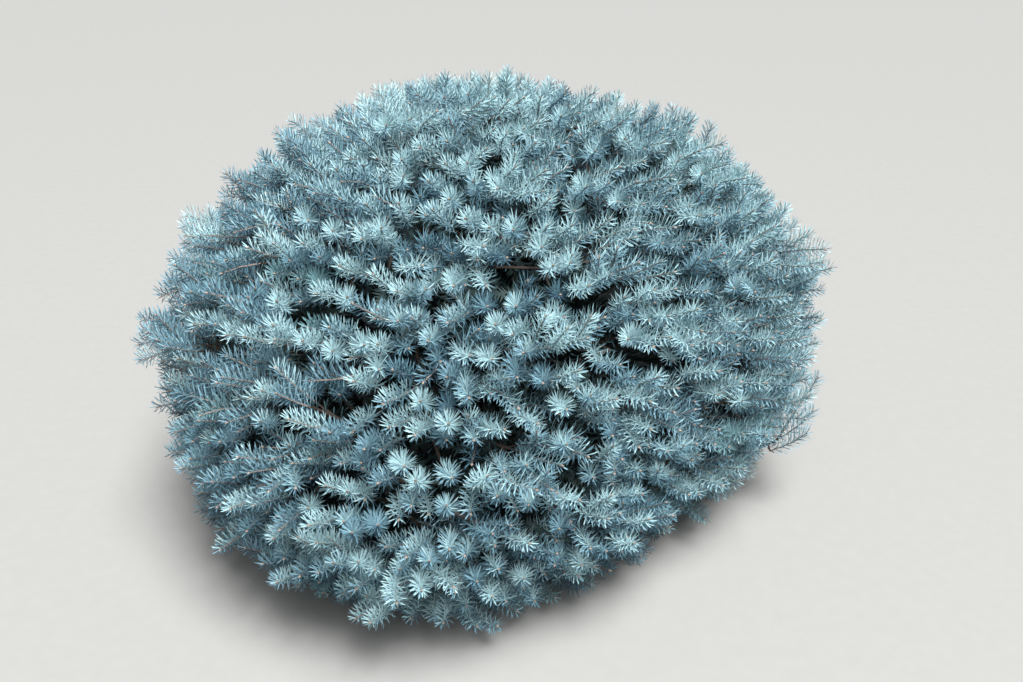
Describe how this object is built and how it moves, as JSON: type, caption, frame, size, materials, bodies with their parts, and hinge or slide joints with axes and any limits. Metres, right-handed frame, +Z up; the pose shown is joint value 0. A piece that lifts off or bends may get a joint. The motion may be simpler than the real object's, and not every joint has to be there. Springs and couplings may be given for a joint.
{
  "type": "globe blue spruce shrub",
  "caption": "Low, dense, dome-shaped blue spruce shrub whose skirt of foliage reaches the ground, rooted by a short hidden trunk.",
  "frame": {"origin": "centre of the trunk's flat cut at ground level", "axes": "+Z up along the trunk; -Y towards the side that the picture shows; +X to that view's right"},
  "size_m": [1.2227, 1.2892, 0.7755],
  "materials": {
    "bark": "rough grey-brown bark, orange-brown on the young twigs",
    "needles": "matt, waxy blue-grey needles, paler at the new tips and dark green inside"
  },
  "bodies": {
    "root": {"trunk": "bark", "bough_skirt_1": "bark", "foliage_skirt_1": "needles", "bough_skirt_2": "bark", "foliage_skirt_2": "needles", "bough_skirt_3": "bark", "foliage_skirt_3": "needles", "bough_skirt_4": "bark", "foliage_skirt_4": "needles", "bough_skirt_5": "bark", "foliage_skirt_5": "needles", "bough_skirt_6": "bark", "foliage_skirt_6": "needles", "bough_middle_1": "bark", "foliage_middle_1": "needles", "bough_middle_2": "bark", "foliage_middle_2": "needles", "bough_middle_3": "bark", "foliage_middle_3": "needles", "bough_middle_4": "bark", "foliage_middle_4": "needles", "bough_middle_5": "bark", "foliage_middle_5": "needles", "bough_middle_6": "bark", "foliage_middle_6": "needles", "bough_upper_1": "bark", "foliage_upper_1": "needles", "bough_upper_2": "bark", "foliage_upper_2": "needles", "bough_upper_3": "bark", "foliage_upper_3": "needles", "bough_upper_4": "bark", "foliage_upper_4": "needles", "foliage_top": "needles"}
  },
  "joints": []
}
